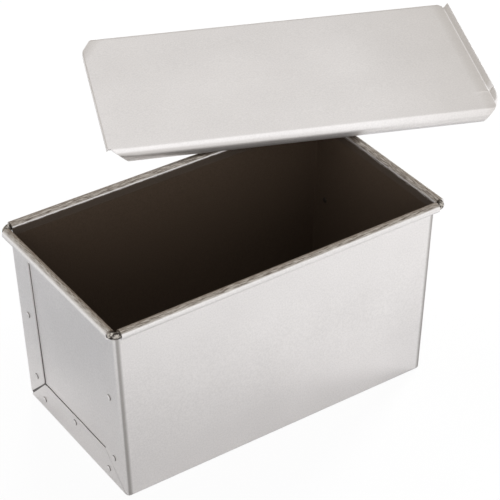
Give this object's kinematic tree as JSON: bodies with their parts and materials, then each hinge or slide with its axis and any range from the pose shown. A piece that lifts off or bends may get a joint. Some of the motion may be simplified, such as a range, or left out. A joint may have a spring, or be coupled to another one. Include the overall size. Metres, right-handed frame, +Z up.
{
  "type": "lidded loaf pan",
  "caption": "Straight-sided bread pan of folded and riveted sheet steel with wire-rolled rims and a loose lid whose curled sides slide over the rims",
  "frame": {"origin": "middle of the pan's underside", "axes": "+X along the pan's length, +Y towards its back, +Z up"},
  "size_m": [0.3294, 0.2405, 0.1291],
  "materials": {
    "pan_sheet": "matt aluminised steel, dark non-stick inside",
    "lid_sheet": "matt aluminised steel",
    "wire": "drawn steel wire",
    "rivet_steel": "pressed steel"
  },
  "bodies": {
    "pan": {"trough": "pan_sheet", "left_end_plate": "pan_sheet", "right_end_plate": "pan_sheet", "rim_wire": "wire", "left_rivet_1": "rivet_steel", "left_rivet_2": "rivet_steel", "left_rivet_3": "rivet_steel", "left_rivet_4": "rivet_steel", "left_rivet_5": "rivet_steel", "left_rivet_6": "rivet_steel", "left_rivet_7": "rivet_steel", "right_rivet_1": "rivet_steel", "right_rivet_2": "rivet_steel", "right_rivet_3": "rivet_steel", "right_rivet_4": "rivet_steel", "right_rivet_5": "rivet_steel", "right_rivet_6": "rivet_steel", "right_rivet_7": "rivet_steel"},
    "lid": {"lid": "lid_sheet"}
  },
  "joints": [
    {"name": "lid_lift", "type": "slide", "parent": "pan", "child": "lid", "axis": [0, 0, 1], "range_m": [0, 0.12]}
  ]
}
